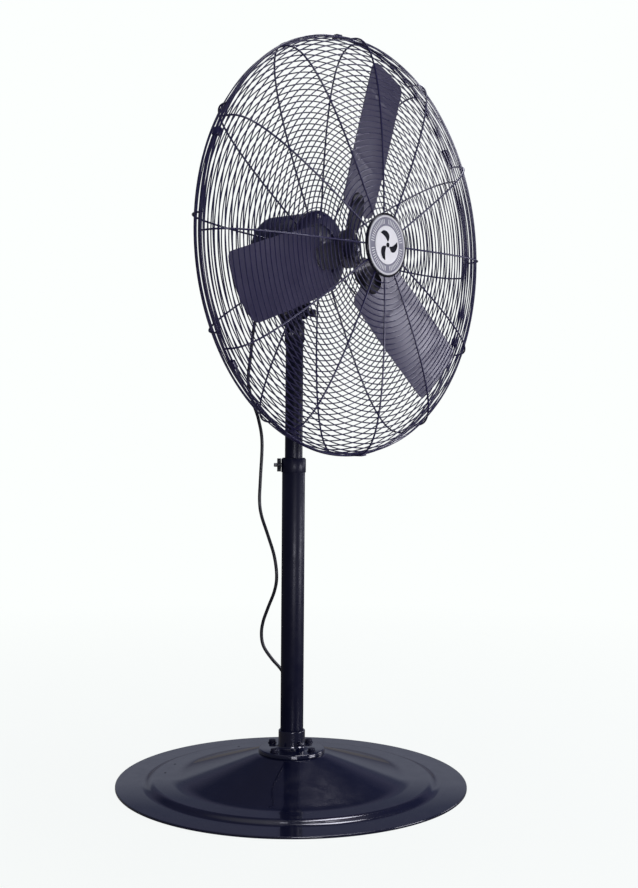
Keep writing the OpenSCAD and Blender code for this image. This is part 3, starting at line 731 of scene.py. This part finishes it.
def add_light(name, place, aim, size, power):
    data = bpy.data.lights.new(name, "AREA")
    data.shape = "RECTANGLE"
    data.size, data.size_y = size
    data.energy = power
    data.color = LAMP_TINT
    light = bpy.data.objects.new(name, data)
    light.location = place
    light.rotation_mode = "QUATERNION"
    light.rotation_quaternion = (Vector(aim) - Vector(place)).to_track_quat("-Z", "Y")
    bpy.context.collection.objects.link(light)


make_stage()
make_world()
for lamp, settings in LAMPS.items():
    add_light(lamp, *settings)
bpy.context.scene.view_settings.view_transform = "Standard"


# ---- guard ----

# Lengths are in mm and angles in degrees. RIB, RING and RIM are the wires' radii.
RIM_R = 411
SEAM_F = 143  # forward of the pole's axis to the seam between the halves
FRONT_DEPTH = 87
REAR_DEPTH = 77.2
GUARD_POWER = 3.2  # of the curve of the ribs, where 2 would be an ellipse
RIB = 1.8
RING = 1.2
RIM = 1.9
RIM_AWAY = 3.4  # from the seam to the middle of each rim
RING_PITCH = 11
RIBS = 12
PLATE_EDGE = 1.2  # corner radius of the hub plates
PLATE_TO_RING = 3


def profile_point(a, r, depth):
    """A point on the guard's curve, at angle a in degrees from the rim, as (r, distance from the seam)."""
    a = math.radians(a)
    power = 2 / GUARD_POWER
    return Vector((r * math.cos(a) ** power, depth * math.sin(a) ** power))


def ring_stops(depth, inner):
    """Evenly spaced points along the curve just inside the ribs, from the rim to radius inner."""
    inset = RIB + RING
    steps = 400
    angles = [45 * (1 - math.cos(math.pi * i / steps)) for i in range(steps + 1)]
    curve = [profile_point(a, RIM_R - inset, depth - inset) for a in angles]
    stops, gone, due = [], 0.0, RING_PITCH
    for a, b in zip(curve, curve[1:]):
        step = (b - a).length
        while step > 0 and gone + step >= due:
            p = a.lerp(b, (due - gone) / step)
            if p[0] > inner:
                stops.append(p)
            due += RING_PITCH
        gone += step
    return stops


def half_guard(name, depth, flip, first_rib, plate_in, plate_out, plate_half, overlap):
    """One half: ribs, rim and hub plate as one piece, and its fine rings as another.

    The plate is a flat ring of twice plate_half's thickness, and the ribs end on it, overlap inside its edge.
    """
    turn = FACING @ Matrix.Translation((0, 0, SEAM_F * MM))
    if flip:
        turn = turn @ Matrix.Diagonal((1, 1, -1, 1))
    steps = 36
    curve = [profile_point(90 * k / steps, RIM_R, depth) for k in range(steps + 1)]
    rib_end = plate_out - overlap
    curve = [p for p in curve if p[0] >= rib_end] + [Vector((rib_end, depth))]
    ribs = []
    for i in range(RIBS):
        a = math.radians(first_rib + i * 360 / RIBS)
        way = [(r * MM * math.cos(a), r * MM * math.sin(a), f * MM) for r, f in curve]
        ribs.append(sweep(way, RIB * MM))
    rim = lathe(circle_outline(RIM_R, RIM_AWAY, RIM, 14), 256)
    low, high = depth - plate_half, depth + plate_half
    plate = [(plate_in, low), (plate_out, low), (plate_out, high), (plate_in, high)]
    hub = lathe(rounded([(*corner, PLATE_EDGE) for corner in plate]), 96)
    add_mesh(name + "_ribs", merge(rim, hub, *ribs), "head", "guard_wire", name + "_guard_frame", place=turn)
    stops = ring_stops(depth, plate_out + PLATE_TO_RING)
    rings = [lathe(circle_outline(r, f, RING, 8), 200) for r, f in stops]
    add_mesh(name + "_rings", merge(*rings), "head", "guard_wire", name + "_guard_rings", place=turn)


def make_guard():
    half_guard("front", FRONT_DEPTH, False, 91.5, plate_in=34, plate_out=60, plate_half=1.4, overlap=2)
    half_guard("rear", REAR_DEPTH, True, 87, plate_in=56, plate_out=82, plate_half=1.6, overlap=4)


make_guard()


# ---- badge ----

BADGE_F = SEAM_F + FRONT_DEPTH + 2
BADGE_R = 62.5
FACE_LOW = 3.1  # where the badge's face parts stand on the bezel
DISC_R = 37.2
BAND_R = 54
RING_R = 57.9
BARS = 60
BAR_GROUP = 15  # bars to a quarter turn, of which the first two are left out
BAR_HALF = 0.7


def petal(inner, outer, swing, steps=14):
    """Outline of one blade of the mark: a leaf between two radii that leans sideways."""
    left, right = [], []
    for k in range(steps + 1):
        t = k / steps
        r = inner + (outer - inner) * t
        wide = 46 * math.sin(math.pi * (0.12 + 0.80 * t)) ** 0.8  # degrees across, rounded off at both ends
        lean = swing * t * t
        for row, sign in ((left, 1), (right, -1)):
            a = math.radians(lean + sign * wide / 2)
            row.append((r * math.cos(a), r * math.sin(a)))
    return left + right[::-1]


def raised(outline, low, high):
    """A flat shape with a flat top, from an outline of (x, y) in mm."""
    count = len(outline)
    points = [(x * MM, y * MM, z * MM) for z in (low, high) for x, y in outline]
    faces = [tuple(range(count))[::-1], tuple(range(count, 2 * count))]
    faces += [(k, (k + 1) % count, (k + 1) % count + count, k + count) for k in range(count)]
    return points, faces


def turned(shape, degrees):
    """The shape turned about Z."""
    turn = Matrix.Rotation(math.radians(degrees), 3, "Z")
    return [turn @ Vector(p) for p in shape[0]], shape[1]


def badge_part(name, shape, slot, node, look=None):
    place = FACING @ Matrix.Translation((0, 0, BADGE_F * MM))
    add_mesh(name, shape, "head", slot, node, place=place, look=look)


def make_badge():
    """Black bezel, silver ring, a grey band with bars, and a pale disc with a plain three-blade mark."""
    bezel = [
        (4, 0, 0), (60.5, 0, 1), (BADGE_R, 1.6, 0.8), (BADGE_R, 4.2, 1), (61.2, 5.6, 0.9), (58.8, 5.0, 0.5),
        (58.3, 3, 0.2), (4, 2.4, 0),
    ]
    ring = [
        (BAND_R, FACE_LOW, 0), (RING_R, FACE_LOW, 0), (RING_R, 4.6, 0.5), (56, 5.6, 0.9), (BAND_R, 4.6, 0.4),
    ]
    band = [(36, FACE_LOW, 0), (BAND_R, FACE_LOW, 0), (BAND_R, 4.3, 0), (36, 4.3, 0)]
    disc = [(0, FACE_LOW, 0), (DISC_R, FACE_LOW, 0), (DISC_R, 5.2, 0.6), (34, 6.0, 1.2), (0, 6.4, 0)]
    bar = raised([(41, -BAR_HALF), (50, -BAR_HALF), (50, BAR_HALF), (41, BAR_HALF)], 4.2, 4.7)
    bars = [turned(bar, k * 360 / BARS) for k in range(BARS) if k % BAR_GROUP > 1]
    leaf = raised(petal(7, 31, 38), 6.0, 6.75)
    petals = [turned(leaf, 90 + k * 360 / BLADES) for k in range(BLADES)]
    dot = lathe([(0, 6.0), (4.8, 6.0), (4.8, 6.8), (0, 6.9)], 32)
    badge_part("badge_bezel", lathe(rounded(bezel), 128), "badge_rim", "badge_plate")
    badge_part("badge_ring", lathe(rounded(ring), 128), "badge_silver", "badge_face")
    badge_part("badge_band", lathe(rounded(band), 128), "badge_silver", "badge_face", BADGE_GREY)
    badge_part("badge_disc", lathe(rounded(disc), 128), "badge_silver", "badge_face", BADGE_WHITE)
    badge_part("badge_bars", merge(*bars), "badge_rim", "badge_face", BADGE_WHITE)
    badge_part("badge_mark", merge(dot, *petals), "badge_rim", "badge_face")


make_badge()


# ---- CAD nodes that stay ----

# In metres.
EDGE_ROUNDING = 0.0004
WELD_WITHIN = 0.000005


def dress_cad():
    """Gives every CAD node that stays its material and smooth, slightly softened surfaces."""
    slots = {s["node"]: s["material_slot"] for s in frame["record"]["subparts"]}
    for name, node in nodes.items():
        if node.hide_render:
            continue
        node.data.materials.clear()
        node.data.materials.append(MATERIALS[slots[name]])
        for p in node.data.polygons:
            p.use_smooth = True
        weld = node.modifiers.new("weld", "WELD")
        weld.merge_threshold = WELD_WITHIN
        soften = node.modifiers.new("soften", "BEVEL")
        soften.width = EDGE_ROUNDING
        soften.segments = 2
        soften.limit_method = "ANGLE"
        soften.angle_limit = math.radians(40)
        soften.harden_normals = True


dress_cad()
